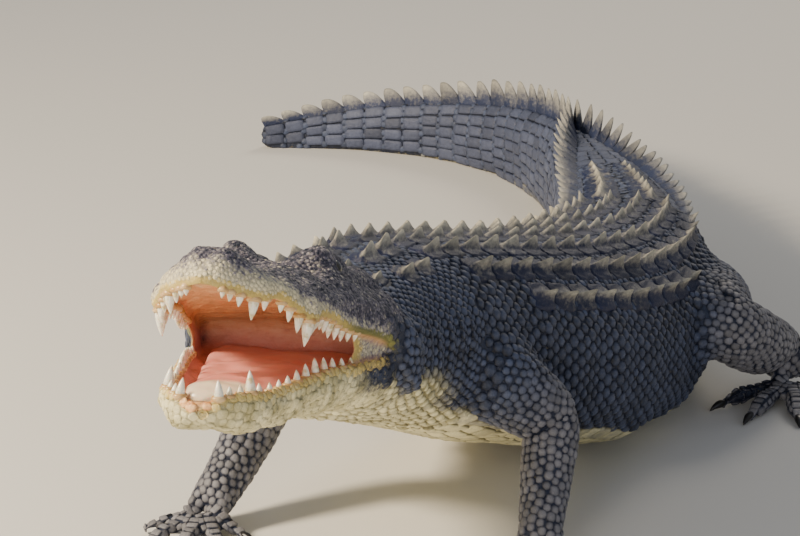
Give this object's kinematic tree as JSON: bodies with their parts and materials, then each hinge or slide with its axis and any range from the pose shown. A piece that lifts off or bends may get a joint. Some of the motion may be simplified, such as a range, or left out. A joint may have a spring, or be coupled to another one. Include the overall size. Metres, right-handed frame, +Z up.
{
  "type": "american alligator",
  "caption": "Life-size still alligator with a raised forebody, gaping jaws, keeled back plates and a tail that curls round on the floor.",
  "frame": {"origin": "on the floor, on the flat of the belly under the middle of the loin", "axes": "+Z up; the animal faces -Y, so +X is towards its left side"},
  "size_m": [0.8986, 2.6755, 0.5309],
  "materials": {
    "skin": "dark slate-blue scaly hide with bony keeled plates",
    "skin_head": "grey-purple speckled hide, cream along the lips",
    "skin_jaw": "cream-yellow hide of the chin and throat",
    "mouth": "moist coral and orange lining",
    "eye": "wet and glossy",
    "tooth": "ivory enamel",
    "claw": "dark horn"
  },
  "bodies": {
    "root": {"head": "skin_head", "lower_jaw": "skin_jaw", "tongue": "mouth", "eye_left": "eye", "eye_right": "eye", "neck": "skin", "torso": "skin", "tail_1": "skin", "tail_2": "skin", "tail_3": "skin", "tail_4": "skin", "tail_5": "skin", "leg_front_left": "skin", "leg_front_right": "skin", "leg_hind_left": "skin", "leg_hind_right": "skin"}
  },
  "joints": []
}
